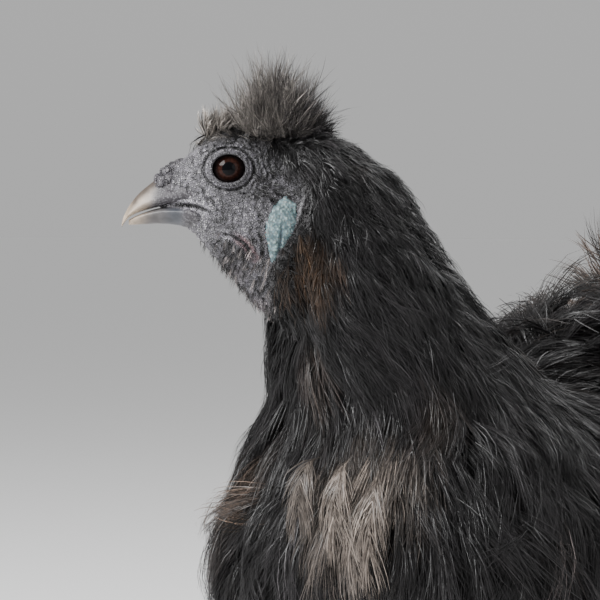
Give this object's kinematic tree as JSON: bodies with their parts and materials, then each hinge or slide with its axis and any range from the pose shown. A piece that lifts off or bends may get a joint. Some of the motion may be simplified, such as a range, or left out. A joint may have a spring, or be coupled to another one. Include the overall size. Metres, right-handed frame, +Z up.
{
  "type": "silkie chicken",
  "caption": "Life-size still model of a standing black silkie hen with her head turned to one side.",
  "frame": {"origin": "on the floor, under the middle of the whole model's box", "axes": "the hen faces -Y, +X is her left side, +Z is up"},
  "size_m": [0.1776, 0.2838, 0.2961],
  "materials": {
    "plumage": "silky black feathers with a soft sheen",
    "face_skin": "pebbled slate-grey bare skin with a purple tint",
    "ear_lobe": "pale turquoise wrinkled skin",
    "bill": "grey horn with a cream tip",
    "eye": "wet dark brown iris with a black pupil",
    "leg_skin": "slate-black scaled skin",
    "claw": "grey horn"
  },
  "bodies": {
    "root": {"bill_lower": "bill", "bill_upper": "bill", "claw_left_1": "claw", "claw_left_2": "claw", "claw_left_3": "claw", "claw_left_4": "claw", "claw_left_5": "claw", "claw_right_1": "claw", "claw_right_2": "claw", "claw_right_3": "claw", "claw_right_4": "claw", "claw_right_5": "claw", "comb": "face_skin", "crest": "plumage", "earlobe_left": "ear_lobe", "earlobe_right": "ear_lobe", "eye_left": "eye", "eye_right": "eye", "foot_left": "leg_skin", "foot_right": "leg_skin", "head": "face_skin", "neck": "plumage", "shank_left": "leg_skin", "shank_right": "leg_skin", "tail": "plumage", "thigh_left": "plumage", "thigh_right": "plumage", "toe_left_1": "leg_skin", "toe_left_2": "leg_skin", "toe_left_3": "leg_skin", "toe_left_4": "leg_skin", "toe_left_5": "leg_skin", "toe_right_1": "leg_skin", "toe_right_2": "leg_skin", "toe_right_3": "leg_skin", "toe_right_4": "leg_skin", "toe_right_5": "leg_skin", "torso": "plumage", "wattle_left": "face_skin", "wattle_right": "face_skin", "wing_left": "plumage", "wing_right": "plumage"}
  },
  "joints": []
}
